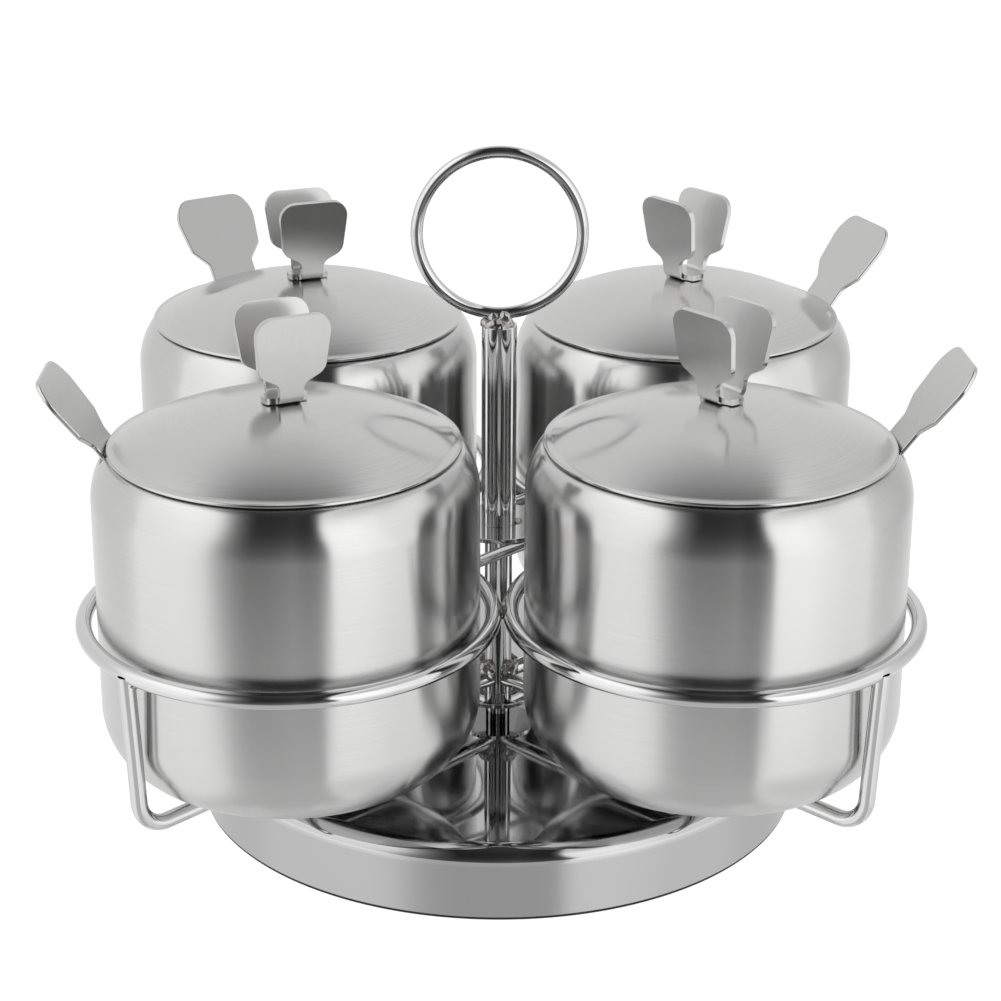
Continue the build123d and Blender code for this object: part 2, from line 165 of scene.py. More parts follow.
def node_span(node):
    """Lowest corner, highest corner and centre of a node."""
    low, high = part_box(node)
    return low, high, (low + high) / 2


def half_width(node):
    low, high, _ = node_span(node)
    return max(high.x - low.x, high.y - low.y) / 2


# Mesh tools
def arc(cx, cz, radius, start, end, steps):
    """Points on an arc in radius and height, with angles in radians."""
    turn = (end - start) / steps
    angles = [start + turn * i for i in range(steps + 1)]
    return [(cx + radius * math.cos(a), cz + radius * math.sin(a)) for a in angles]


def tidy_chain(points):
    """Points without near repeats."""
    kept = [points[0]]
    for p in points[1:]:
        if math.dist(p, kept[-1]) > 4 * MERGE:
            kept.append(p)
    return kept


def full_turn(bm, geom, steps, merge=MERGE):
    """Spin an outline once round the Z axis and close its seam and poles."""
    bmesh.ops.spin(
        bm,
        geom=geom,
        cent=(0, 0, 0),
        axis=(0, 0, 1),
        angle=math.tau,
        steps=steps,
        use_merge=True,
    )
    bmesh.ops.remove_doubles(bm, verts=bm.verts, dist=merge)


def cut(bm, geom, point, normal):
    bmesh.ops.bisect_plane(bm, geom=geom, dist=MERGE, plane_co=point, plane_no=normal)


def whole(bm):
    return bm.faces[:] + bm.edges[:] + bm.verts[:]


def faces_near_notch(bm, half, low=-math.inf, high=math.inf):
    """Faces on the +X side whose middle lies within a half width and between two heights."""
    found = []
    for face in bm.faces:
        middle = face.calc_center_median()
        if middle.x > 0 and abs(middle.y) < half and low < middle.z < high:
            found.append(face)
    return found


def turned_mesh(points, steps=ROUND_STEPS, closed=False):
    """Turn a chain of points in radius and height about Z, with a grain map round the turn."""
    points = tidy_chain(points)
    bm = bmesh.new()
    verts = [bm.verts.new((x, 0, z)) for x, z in points]
    pairs = list(zip(verts, verts[1:]))
    if closed:
        pairs.append((verts[-1], verts[0]))
    edges = [bm.edges.new(pair) for pair in pairs]
    full_turn(bm, verts + edges, steps)
    bmesh.ops.recalc_face_normals(bm, faces=bm.faces)
    lay_grain_round(bm, points)
    return bm


def lay_grain_round(bm, points):
    """Grain map in millimetres: U runs round the turn and V along the outline."""
    length = {}
    run = 0.0
    for i, p in enumerate(points):
        if i:
            run += math.dist(p, points[i - 1])
        length[(round(p[0] / MM, 2), round(p[1] / MM, 2))] = run
    mean_r = sum(p[0] for p in points) / len(points)
    layer = bm.loops.layers.uv.new("grain")
    for face in bm.faces:
        centre = face.calc_center_median()
        middle = math.atan2(centre.y, centre.x)
        for loop in face.loops:
            co = loop.vert.co
            r = math.hypot(co.x, co.y)
            angle = middle
            if r > 0.01 * MM:
                angle = math.atan2(co.y, co.x)
                angle = middle + (angle - middle + math.pi) % math.tau - math.pi
            along = length.get((round(r / MM, 2), round(co.z / MM, 2)), r + co.z)
            loop[layer].uv = (angle * mean_r / MM, along / MM)


def make_piece(name, bm, material, place=None):
    """Object from a finished mesh, with its place in the mesh."""
    if place is not None:
        bmesh.ops.transform(bm, matrix=place, verts=bm.verts)
    for face in bm.faces:
        face.smooth = True
    mesh = bpy.data.meshes.new(name)
    bm.to_mesh(mesh)
    bm.free()
    piece = bpy.data.objects.new(name, mesh)
    bpy.context.scene.collection.objects.link(piece)
    mesh.materials.append(material)
    return piece


def thicken(piece, sheet, inward=True, rim=None):
    """Give a surface the thickness of its sheet, with a finish of its own on the rim."""
    modifier = piece.modifiers.new("sheet", "SOLIDIFY")
    modifier.thickness = sheet
    modifier.offset = -1.0 if inward else 0.0
    modifier.use_even_offset = True
    if rim is not None:
        piece.data.materials.append(rim)
        modifier.material_offset_rim = 1


def round_edges(piece, width=EDGE_ROUND, segments=3, angle=35.0):
    modifier = piece.modifiers.new("edges", "BEVEL")
    modifier.width = width
    modifier.segments = segments
    modifier.limit_method = "ANGLE"
    modifier.angle_limit = math.radians(angle)
    modifier.harden_normals = True
    if len(piece.data.materials) > 1:
        modifier.material = 1


def settle(piece, body, node):
    """Say what a piece moves with, and hide the part that it stands for."""
    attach(piece, body)
    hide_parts(node)
    return piece


# Shader tools
GRAIN_DEPTH = 0.02 * MM


def input_value(node, name, value):
    node.inputs[name].default_value = value


def grain_group():
    """Grain of brushed or spun metal, from the grain map, and broad smudges from the place."""
    group = bpy.data.node_groups.new("metal_grain", "ShaderNodeTree")
    face = group.interface
    for name, value in (("Along", 0.02), ("Across", 5.0), ("Smudge Scale", 45.0)):
        socket = face.new_socket(name, in_out="INPUT", socket_type="NodeSocketFloat")
        socket.default_value = value
    for name in ("Lines", "Smudges"):
        face.new_socket(name, in_out="OUTPUT", socket_type="NodeSocketFloat")
    nodes = group.nodes
    links = group.links
    given = nodes.new("NodeGroupInput")
    out = nodes.new("NodeGroupOutput")
    coordinates = nodes.new("ShaderNodeUVMap")
    coordinates.uv_map = "grain"
    stretch = nodes.new("ShaderNodeCombineXYZ")
    links.new(given.outputs["Along"], stretch.inputs[0])
    links.new(given.outputs["Across"], stretch.inputs[1])
    multiply = nodes.new("ShaderNodeVectorMath")
    multiply.operation = "MULTIPLY"
    links.new(coordinates.outputs[0], multiply.inputs[0])
    links.new(stretch.outputs[0], multiply.inputs[1])
    lines = nodes.new("ShaderNodeTexNoise")
    input_value(lines, "Scale", 1.0)
    input_value(lines, "Detail", 5.0)
    input_value(lines, "Roughness", 0.65)
    links.new(multiply.outputs[0], lines.inputs["Vector"])
    links.new(lines.outputs[0], out.inputs["Lines"])
    place = nodes.new("ShaderNodeTexCoord")
    smudges = nodes.new("ShaderNodeTexNoise")
    input_value(smudges, "Detail", 4.0)
    links.new(place.outputs["Object"], smudges.inputs["Vector"])
    links.new(given.outputs["Smudge Scale"], smudges.inputs["Scale"])
    links.new(smudges.outputs[0], out.inputs["Smudges"])
    return group


GRAIN = grain_group()


def start_metal(name, colour, anisotropy=0.0):
    """Material with a metal shader, and its nodes and links."""
    material = bpy.data.materials.new(name)
    material.use_nodes = True
    nodes = material.node_tree.nodes
    links = material.node_tree.links
    shader = nodes["Principled BSDF"]
    input_value(shader, "Metallic", 1.0)
    input_value(shader, "Base Color", (*colour, 1.0))
    input_value(shader, "Anisotropic", anisotropy)
    if anisotropy:
        input_value(shader, "Anisotropic Rotation", 0.25)
        tangent = nodes.new("ShaderNodeTangent")
        tangent.direction_type = "UV_MAP"
        tangent.uv_map = "grain"
        links.new(tangent.outputs[0], shader.inputs["Tangent"])
    return material, nodes, links, shader


def spread(nodes, links, source, low, high):
    """Map a noise, which mostly lies between 0.3 and 0.7, to a range."""
    node = nodes.new("ShaderNodeMapRange")
    input_value(node, "From Min", 0.3)
    input_value(node, "From Max", 0.7)
    input_value(node, "To Min", low)
    input_value(node, "To Max", high)
    links.new(source, node.inputs["Value"])
    return node.outputs[0]


def calculate(nodes, links, operation, one, other=None):
    """Result of a sum on node outputs or plain numbers."""
    node = nodes.new("ShaderNodeMath")
    node.operation = operation
    for socket, value in zip(node.inputs, (one, other)):
        if isinstance(value, (int, float)):
            socket.default_value = value
        elif value is not None:
            links.new(value, socket)
    return node.outputs[0]


def tone(nodes, links, source, dark, light):
    """Colour between two tones of a metal."""
    node = nodes.new("ShaderNodeMix")
    node.data_type = "RGBA"
    node.inputs["A"].default_value = (*dark, 1.0)
    node.inputs["B"].default_value = (*light, 1.0)
    links.new(source, node.inputs["Factor"])
    return node.outputs["Result"]


def bump(nodes, links, height, strength, distance):
    node = nodes.new("ShaderNodeBump")
    input_value(node, "Strength", strength)
    input_value(node, "Distance", distance)
    links.new(height, node.inputs["Height"])
    return node.outputs[0]


def brushed_steel(name, dark, light, roughness, anisotropy, along=0.02, across=5.0, relief=0.08):
    """Satin steel with a fine grain that follows the grain map."""
    material, nodes, links, shader = start_metal(name, light, anisotropy)
    grain = nodes.new("ShaderNodeGroup")
    grain.node_tree = GRAIN
    input_value(grain, "Along", along)
    input_value(grain, "Across", across)
    lines = grain.outputs["Lines"]
    smudges = grain.outputs["Smudges"]
    rough = spread(nodes, links, lines, roughness - 0.02, roughness + 0.02)
    patch = spread(nodes, links, smudges, -0.015, 0.02)
    links.new(calculate(nodes, links, "ADD", rough, patch), shader.inputs["Roughness"])
    shade = spread(nodes, links, lines, 0.0, 1.0)
    links.new(tone(nodes, links, shade, dark, light), shader.inputs["Base Color"])
    links.new(bump(nodes, links, lines, relief, GRAIN_DEPTH), shader.inputs["Normal"])
    return material


def polished(name, colour, low, high, relief=0.0):
    """Bright metal whose gloss varies a little with handling marks."""
    material, nodes, links, shader = start_metal(name, colour)
    place = nodes.new("ShaderNodeTexCoord")
    marks = nodes.new("ShaderNodeTexNoise")
    input_value(marks, "Scale", 90.0)
    input_value(marks, "Detail", 6.0)
    links.new(place.outputs["Object"], marks.inputs["Vector"])
    links.new(spread(nodes, links, marks.outputs[0], low, high), shader.inputs["Roughness"])
    dark = [c * 0.9 for c in colour]
    links.new(tone(nodes, links, marks.outputs[0], dark, colour), shader.inputs["Base Color"])
    if relief:
        links.new(bump(nodes, links, marks.outputs[0], relief, 0.2 * MM), shader.inputs["Normal"])
    return material


def base_metal(crease_height):
    """Pan of the base: brushed round the wall below the crease, mirror polished above it."""
    wall, top = (0.5, 0.5, 0.5), (0.55, 0.55, 0.55)
    material, nodes, links, shader = start_metal("base_steel", wall, 0.6)
    grain = nodes.new("ShaderNodeGroup")
    grain.node_tree = GRAIN
    input_value(grain, "Along", 0.015)
    input_value(grain, "Across", 4.0)
    place = nodes.new("ShaderNodeTexCoord")
    split = nodes.new("ShaderNodeSeparateXYZ")
    links.new(place.outputs["Object"], split.inputs[0])
    above = nodes.new("ShaderNodeMapRange")
    input_value(above, "From Min", crease_height - 0.3 * MM)
    input_value(above, "From Max", crease_height + 0.1 * MM)
    links.new(split.outputs["Z"], above.inputs["Value"])
    mix = nodes.new("ShaderNodeMix")
    links.new(above.outputs[0], mix.inputs["Factor"])
    links.new(spread(nodes, links, grain.outputs["Lines"], 0.18, 0.26), mix.inputs["A"])
    links.new(spread(nodes, links, grain.outputs["Smudges"], 0.02, 0.07), mix.inputs["B"])
    links.new(mix.outputs["Result"], shader.inputs["Roughness"])
    colour = tone(nodes, links, above.outputs[0], wall, top)
    links.new(colour, shader.inputs["Base Color"])
    below = calculate(nodes, links, "SUBTRACT", 1.0, above.outputs[0])
    lines = calculate(nodes, links, "MULTIPLY", below, grain.outputs["Lines"])
    links.new(bump(nodes, links, lines, 0.06, GRAIN_DEPTH), shader.inputs["Normal"])
    return material


def rubber():
    material = bpy.data.materials.new("foot_rubber")
    material.use_nodes = True
    nodes = material.node_tree.nodes
    links = material.node_tree.links
    shader = nodes["Principled BSDF"]
    input_value(shader, "Base Color", (0.02, 0.02, 0.021, 1.0))
    place = nodes.new("ShaderNodeTexCoord")
    dust = nodes.new("ShaderNodeTexNoise")
    input_value(dust, "Scale", 400.0)
    links.new(place.outputs["Object"], dust.inputs["Vector"])
    links.new(spread(nodes, links, dust.outputs[0], 0.6, 0.85), shader.inputs["Roughness"])
    links.new(bump(nodes, links, dust.outputs[0], 0.3, 0.1 * MM), shader.inputs["Normal"])
    return material


JAR_STEEL = brushed_steel(
    "jar_steel", (0.645, 0.642, 0.64), (0.7, 0.697, 0.695), 0.19, 0.92, across=8.0, relief=0.05,
)
LID_STEEL = brushed_steel("lid_steel", (0.63, 0.627, 0.625), (0.7, 0.697, 0.695), 0.18, 0.85)
STAMPED = brushed_steel(
    "stamped_steel", (0.63, 0.627, 0.625), (0.67, 0.667, 0.665), 0.24, 0.4, along=0.12, relief=0.03,
)
SHEET_EDGE = polished("sheet_edge", (0.68, 0.68, 0.675), 0.06, 0.14)
CHROME = polished("chromed_wire", (0.76, 0.76, 0.76), 0.03, 0.06)
WELD = polished("weld_metal", (0.5, 0.49, 0.48), 0.08, 0.28, 0.7)
TURNED_STEEL = polished("turned_steel", (0.5, 0.5, 0.5), 0.25, 0.4)
RUBBER = rubber()


# Jars
def jar_outline(low, high, radius):
    """Outer face of a jar, from the middle of its floor to the edge of its mouth."""
    turn = JAR_SHOULDER_TURN
    rise = JAR_SHOULDER_R * math.sin(turn) + JAR_RIM_ROLL_R * (1 - math.sin(turn))
    start = high - rise
    roll_x = radius - JAR_SHOULDER_R + (JAR_SHOULDER_R - JAR_RIM_ROLL_R) * math.cos(turn)
    roll_z = start + (JAR_SHOULDER_R - JAR_RIM_ROLL_R) * math.sin(turn)
    corner = (radius - JAR_CORNER_R, low + JAR_CORNER_R)
    points = [(0.0, low), (0.5 * corner[0], low)]
    points += arc(*corner, JAR_CORNER_R, -math.pi / 2, 0.0, steps=20)
    points += [(radius, low + (start - low) * t) for t in (0.4, 0.6, 0.8)]
    points += arc(radius - JAR_SHOULDER_R, start, JAR_SHOULDER_R, 0.0, turn, steps=10)
    points += arc(roll_x, roll_z, JAR_RIM_ROLL_R, turn, math.pi / 2, steps=8)
    points.append((JAR_MOUTH_R, high))
    return points


def cut_notch(bm, high):
    """Open the mouth on the +X side for the spoon's neck."""
    half = NOTCH_WIDTH / 2
    floor = high - NOTCH_DEPTH
    cuts = [((0, half, 0), (0, 1, 0)), ((0, -half, 0), (0, 1, 0)), ((0, 0, floor), (0, 0, 1))]
    for point, normal in cuts:
        near = faces_near_notch(bm, 2 * half, low=floor - NOTCH_DEPTH)
        geom = set(near)
        for f in near:
            geom.update(f.edges)
            geom.update(f.verts)
        cut(bm, list(geom), point, normal)
    bmesh.ops.delete(bm, geom=faces_near_notch(bm, half, low=floor), context="FACES")


def spoon_frame(name):
    """Exit point and outward direction of a spoon, and the turn of its notch."""
    joint = joints["spoon_draw_" + name]
    axis = Vector(joint["axis"]).normalized()
    return Vector(joint["pos_m"]), axis, math.atan2(axis.y, axis.x)


def jar(name):
    low, high, centre = node_span("jar_" + name)
    radius = half_width("jar_" + name)
    bm = turned_mesh(jar_outline(low.z, high.z, radius))
    cut_notch(bm, high.z)
    turn = spoon_frame(name)[2]
    place = Matrix.Translation((centre.x, centre.y, 0)) @ Matrix.Rotation(turn, 4, "Z")
    piece = make_piece("jar_shell_" + name, bm, JAR_STEEL, place)
    thicken(piece, JAR_SHEET)
    round_edges(piece)
    return settle(piece, "jar_body_" + name, "jar_" + name)


# Lids
def dome_radius(edge, rise):
    return (edge ** 2 + rise ** 2) / (2 * rise)


def lid(name):
    low, high, centre = node_span("lid_" + name)
    radius = half_width("lid_" + name)
    edge = radius - LID_FLANGE
    flange_top = low.z + LID_SHEET
    ball = dome_radius(edge, high.z - flange_top)
    middle = high.z - ball
    half = math.asin(edge / ball)
    points = arc(0, middle, ball, math.pi / 2, math.pi / 2 - half, steps=40)
    points[0] = (0.0, high.z)
    points += [(radius - LID_FLANGE * 0.5, flange_top), (radius, flange_top)]
    bm = turned_mesh(points)
    place = Matrix.Translation((centre.x, centre.y, 0))
    piece = make_piece("lid_shell_" + name, bm, LID_STEEL, place)
    thicken(piece, LID_SHEET, rim=SHEET_EDGE)
    round_edges(piece, LID_EDGE_ROUND)
    return settle(piece, "lid_body_" + name, "lid_" + name)


# Sheet blanks: knobs and spoons
def rounded_side(corners, rounds, steps=8):
    """Half outline in millimetres, with its inner corners rounded, as points in metres."""
    corners = [Vector(c) * MM for c in corners]
    chain = [corners[0]]
    for before, corner, after, radius in zip(corners, corners[1:], corners[2:], rounds):
        back = (before - corner).normalized()
        ahead = (after - corner).normalized()
        half = back.angle(ahead) / 2
        if not radius:
            chain.append(corner)
            continue
        reach = radius * MM / math.tan(half)
        middle = corner + (back + ahead).normalized() * radius * MM / math.sin(half)
        start = corner + back * reach - middle
        end = corner + ahead * reach - middle
        sweep = math.atan2(start.cross(end), start.dot(end))
        chain += [middle + Matrix.Rotation(sweep * i / steps, 2) @ start for i in range(steps + 1)]
    return chain + [corners[-1]]


def lay_grain_along(bm):
    """Grain map in millimetres of a flat blank, along its length."""
    layer = bm.loops.layers.uv.new("grain")
    for face in bm.faces:
        for loop in face.loops:
            loop[layer].uv = (loop.vert.co.x / MM, loop.vert.co.y / MM)


def knob_blank(side):
    """Flat blank of a knob from half of one side, as a single face."""
    flat_start = math.acos(KNOB_MIDDLE_FLAT / KNOB_MIDDLE_R)
    quarter = arc(0, 0, KNOB_MIDDLE_R, math.pi / 2, flat_start, steps=6)
    quarter += [(KNOB_MIDDLE_FLAT + out, KNOB_NECK + wider) for out, wider in KNOB_NECK_STEPS]
    quarter += side
    right = quarter + [(x, -y) for x, y in reversed(quarter)]
    left = [(-x, -y) for x, y in right[1:-1]]
    bm = bmesh.new()
    bm.faces.new([bm.verts.new((x, y, 0)) for x, y in right + left])
    return bm


def knob(name):
    """Blank bent up at both necks and welded on the crown of its lid."""
    low = node_span("lid_knob_" + name)[0]
    lid_centre = node_span("lid_" + name)[2]
    middle = KNOB_SHEET / 2
    turn = math.pi / 2 - KNOB_LEAN
    corner = KNOB_HALF_BASE + (middle * math.sin(KNOB_LEAN) - middle) / math.cos(KNOB_LEAN)
    bend_start = corner - KNOB_BEND_R * math.tan(turn / 2)
    bend_end = bend_start + KNOB_BEND_R * turn
    bend_top = middle + KNOB_BEND_R * (1 - math.cos(turn))
    side = []
    for height, half in rounded_side(KNOB_SIDE, KNOB_SIDE_ROUNDS)[1:-1]:
        side.append((bend_end + (height - bend_top) / math.cos(KNOB_LEAN), half))
    bm = knob_blank(side)
    for i in range(KNOB_BEND_CUTS + 1):
        run = bend_start + (bend_end - bend_start) * i / KNOB_BEND_CUTS
        for x in (run, -run):
            cut(bm, whole(bm), (x, 0, 0), (1, 0, 0))
    lay_grain_along(bm)
    for vert in bm.verts:
        run = abs(vert.co.x)
        angle = min(max((run - bend_start) / KNOB_BEND_R, 0.0), turn)
        x = min(run, bend_start) + KNOB_BEND_R * math.sin(angle)
        z = middle + KNOB_BEND_R * (1 - math.cos(angle))
        beyond = max(run - bend_end, 0.0)
        x += beyond * math.sin(KNOB_LEAN)
        z += beyond * math.cos(KNOB_LEAN)
        vert.co = (math.copysign(x, vert.co.x), vert.co.y, z)
    bmesh.ops.recalc_face_normals(bm, faces=bm.faces)
    place = Matrix.Translation((lid_centre.x, lid_centre.y, low.z))
    place = place @ Matrix.Rotation(math.radians(KNOB_TURN[name]), 4, "Z")
    piece = make_piece("knob_strip_" + name, bm, STAMPED, place)
    thicken(piece, KNOB_SHEET, inward=False, rim=SHEET_EDGE)
    round_edges(piece, SHEET_EDGE_ROUND, segments=4)
    return settle(piece, "lid_body_" + name, "lid_knob_" + name)


def spoon_blank():
    """Oval dished bowl and a flat stem with its paddle, as one surface."""
    bowl_a, bowl_b = BOWL_HALF
    centre = bowl_a - SPOON_INSIDE
    bm = bmesh.new()
    # The bowl starts as a disc of radius 1, and is stretched and dished after the turn
    verts = [bm.verts.new((i / BOWL_RINGS, 0, 0)) for i in range(BOWL_RINGS + 1)]
    edges = [bm.edges.new(pair) for pair in zip(verts, verts[1:])]
    full_turn(bm, verts + edges, BOWL_SIDES, merge=0.001)
    reach = BOWL_JOIN_SIDES * math.tau / BOWL_SIDES
    rim = [v for v in bm.verts if v.co.length > 0.99]
    mouth = [v for v in rim if abs(math.atan2(v.co.y, v.co.x)) < reach]
    mouth.sort(key=lambda v: v.co.y)
    for vert in bm.verts:
        share = vert.co.xy.length_squared
        drop = BOWL_DEPTH * max(1 - share, 0.0) ** 1.5
        vert.co = (centre + vert.co.x * bowl_a, vert.co.y * bowl_b, -drop)
    half = rounded_side(SPOON_SIDE, SPOON_SIDE_ROUNDS)[1:-1]
    far = [bm.verts.new((x, y, 0)) for x, y in half]
    near = [bm.verts.new((x, -y, 0)) for x, y in reversed(half)]
    bm.faces.new(mouth + far + near)
    return bm


def spoon(name):
    exit_point, axis, turn = spoon_frame(name)
    high = node_span("spoon_" + name)[1]
    lean = math.asin(axis.z)
    top = (high.z - exit_point.z - SPOON_SHEET / 2 * math.cos(lean)) / axis.z
    bm = spoon_blank()
    lay_grain_along(bm)
    bmesh.ops.recalc_face_normals(bm, faces=bm.faces)
    place = Matrix.Translation(exit_point + axis * (top - SPOON_OUTSIDE))
    place = place @ Matrix.Rotation(turn, 4, "Z") @ Matrix.Rotation(-lean, 4, "Y")
    piece = make_piece("spoon_sheet_" + name, bm, STAMPED, place)
    thicken(piece, SPOON_SHEET, inward=False, rim=SHEET_EDGE)
    round_edges(piece, SPOON_EDGE_ROUND, segments=4)
    return settle(piece, "spoon_body_" + name, "spoon_" + name)


# Wire work
def wire_section(bm, radius, place):
    """Open circle of wire, as its corners and edges."""
    made = bmesh.ops.create_circle(
        bm,
        segments=WIRE_SIDES,
        radius=radius,
        cap_ends=False,
        matrix=place,
    )
    verts = made["verts"]
    edges = list({e for v in verts for e in v.link_edges})
    return verts, edges


def wire_grain(bm):
    """Plain grain map in millimetres from the place of each corner."""
    layer = bm.loops.layers.uv.new("grain")
    for face in bm.faces:
        for loop in face.loops:
            co = loop.vert.co
            loop[layer].uv = ((co.x + co.y) / MM, co.z / MM)


def ring_mesh(ring_r, wire_r):
    """Closed wire ring about the Z axis."""
    bm = bmesh.new()
    place = Matrix.Translation((ring_r, 0, 0)) @ Matrix.Rotation(math.pi / 2, 4, "X")
    verts, edges = wire_section(bm, wire_r, place)
    full_turn(bm, verts + edges, ROUND_STEPS)
    bmesh.ops.recalc_face_normals(bm, faces=bm.faces)
    wire_grain(bm)
    return bm


def holder_ring(name):
    low, high, centre = node_span("holder_ring_" + name)
    wire_r = (high.z - low.z) / 2
    bm = ring_mesh(half_width("holder_ring_" + name) - wire_r, wire_r)
    piece = make_piece("ring_wire_" + name, bm, CHROME, Matrix.Translation(centre))
    return settle(piece, "rack", "holder_ring_" + name)


def handle():
    low, high, centre = node_span("handle_ring")
    wire_r = (high.y - low.y) / 2
    bm = ring_mesh((high.x - low.x) / 2 - wire_r, wire_r)
    place = Matrix.Translation(centre) @ Matrix.Rotation(math.pi / 2, 4, "X")
    piece = make_piece("carrying_ring", bm, CHROME, place)
    return settle(piece, "rack", "handle_ring")


def extrude_run(bm, edges, step):
    """Extrude an open end of wire by a step and return its new end."""
    old = {v for e in edges for v in e.verts}
    made = bmesh.ops.extrude_edge_only(bm, edges=edges)["geom"]
    verts = [g for g in made if isinstance(g, bmesh.types.BMVert)]
    bmesh.ops.translate(bm, vec=step, verts=verts)
    return [
        e for e in bm.edges
        if e.verts[0] in verts and e.verts[1] in verts and not set(e.verts) & old
    ]


def leg_reach():
    """Distance from the post to the top of a leg wire."""
    low, high, centre = node_span("holder_ring_front_left")
    ring_r = half_width("holder_ring_front_left") - (high.z - low.z) / 2
    return centre.xy.length + ring_r + LEG_OUT


def leg_wire(name):
    """Bent wire from the post, out under the jar and up to the holder ring."""
    ring_low, ring_high, ring_centre = node_span("holder_ring_" + name)
    low = node_span("leg_wire_" + name)[0]
    wire_r = (ring_high.z - ring_low.z) / 2
    arm = low.z + wire_r
    knee = leg_reach() - LEG_SPLAY
    turn = math.atan2(ring_centre.z - arm, LEG_SPLAY)
    start = half_width("lower_tube") - wire_r / 2
    corner = knee - LEG_BEND_R * math.tan(turn / 2)
    bm = bmesh.new()
    place = Matrix.Translation((start, 0, arm)) @ Matrix.Rotation(math.pi / 2, 4, "Y")
    edges = wire_section(bm, wire_r, place)[1]
    for _ in range(ARM_RUNS):
        edges = extrude_run(bm, edges, ((corner - start) / ARM_RUNS, 0, 0))
    ends = list({v for e in edges for v in e.verts})
    made = bmesh.ops.spin(
        bm,
        geom=ends + edges,
        cent=(corner, 0, arm + LEG_BEND_R),
        axis=(0, 1, 0),
        angle=-turn,
        steps=LEG_BEND_STEPS,
    )
    edges = [g for g in made["geom_last"] if isinstance(g, bmesh.types.BMEdge)]
    rest = Vector((LEG_SPLAY, 0, ring_centre.z - arm)).length - LEG_BEND_R * math.tan(turn / 2)
    step = (rest / LEG_RUNS * math.cos(turn), 0, rest / LEG_RUNS * math.sin(turn))
    for _ in range(LEG_RUNS):
        edges = extrude_run(bm, edges, step)
    bmesh.ops.recalc_face_normals(bm, faces=bm.faces)
    wire_grain(bm)
    place = Matrix.Rotation(diagonal(name), 4, "Z")
    piece = make_piece("leg_bend_" + name, bm, CHROME, place)
    return settle(piece, "rack", "leg_wire_" + name)


def tie_wire(side):
    node = "tie_wire_" + side
    low, high, centre = node_span(node)
    wire_r = (high.z - low.z) / 2
    length = math.hypot(high.x - low.x, high.y - low.y) - 2 * wire_r
    bm = bmesh.new()
    turn = Matrix.Rotation(math.pi / 4, 4, "Z")
    start = Matrix.Translation(centre) @ turn @ Matrix.Translation((-length / 2, 0, 0))
    edges = wire_section(bm, wire_r, start @ Matrix.Rotation(math.pi / 2, 4, "Y"))[1]
    step = turn @ Vector((length / LEG_RUNS, 0, 0))
    for _ in range(LEG_RUNS):
        edges = extrude_run(bm, edges, step)
    bmesh.ops.recalc_face_normals(bm, faces=bm.faces)
    wire_grain(bm)
    piece = make_piece("tie_run_" + side, bm, CHROME)
    return settle(piece, "rack", node)


# Post, discs and base
def post_piece(node, name, bore, steps):
    """Bored disc or tube of the post, in the place of its node."""
    low, high, centre = node_span(node)
    radius = half_width(node)
    points = [(bore, low.z), (radius, low.z), (radius, high.z), (bore, high.z)]
    bm = turned_mesh(points, steps, closed=True)
    piece = make_piece(name, bm, CHROME, Matrix.Translation((centre.x, centre.y, 0)))
    round_edges(piece)
    return settle(piece, "rack", node)


def base_pan():
    low, high, _ = node_span("base_shell")
    radius = half_width("base_shell")
    top_r = radius - BASE_TAPER
    bend = top_r - BASE_SHOULDER
    crease = high.z - BASE_SHOULDER
    underside = high.z - BASE_SHEET
    outline = [(radius, low.z), (top_r, crease)]
    outline += arc(bend, crease, BASE_SHOULDER, 0, math.pi / 2, steps=14)
    outline += [(bend * t, high.z) for t in (0.7, 0.4, 0.15)]
    outline += [(BASE_HOLE_R, high.z), (BASE_HOLE_R, underside), (bend * 0.4, underside)]
    outline += arc(bend, crease, BASE_SHOULDER - BASE_SHEET, math.pi / 2, 0, steps=8)
    outline += [(radius - BASE_SHEET, low.z)]
    bm = turned_mesh(outline, BASE_STEPS, closed=True)
    piece = make_piece("base_pan", bm, base_metal(crease))
    round_edges(piece, BASE_EDGE_ROUND, segments=2, angle=40)
    return settle(piece, "base", "base_shell")


def foot():
    top = node_span("foot_ring")[1].z
    radius = half_width("foot_ring")
    inner = radius - FOOT_DEPTH
    wall = radius - FOOT_WALL
    outline = [(inner, 0), (radius, 0), (radius, FOOT_LIP), (wall, FOOT_LIP), (wall, top), (inner, top)]
    bm = turned_mesh(outline, BASE_STEPS, closed=True)
    piece = make_piece("foot_rim", bm, RUBBER)
    round_edges(piece, BASE_EDGE_ROUND, segments=2)
    return settle(piece, "base", "foot_ring")


def skirt(name):
    """Locating ring inside a lid, open where the spoon passes."""
    low, high, _ = node_span("lid_skirt_" + name)
    centre = node_span("lid_" + name)[2]
    radius = half_width("lid_skirt_" + name)
    notch_top = low.z + SKIRT_NOTCH_HEIGHT
    bm = turned_mesh([(radius, low.z), (radius, notch_top), (radius, high.z - SKIRT_TOP_GAP)])
    half = NOTCH_WIDTH / 2
    for side in (half, -half):
        cut(bm, whole(bm), (0, side, 0), (0, 1, 0))
    bmesh.ops.delete(bm, geom=faces_near_notch(bm, half, high=notch_top), context="FACES")
    turn = spoon_frame(name)[2]
    place = Matrix.Translation((centre.x, centre.y, 0)) @ Matrix.Rotation(turn, 4, "Z")
    piece = make_piece("lid_ring_" + name, bm, LID_STEEL, place)
    thicken(piece, SKIRT_SHEET)
    round_edges(piece, SKIRT_EDGE_ROUND, segments=2)
    return settle(piece, "lid_body_" + name, "lid_skirt_" + name)


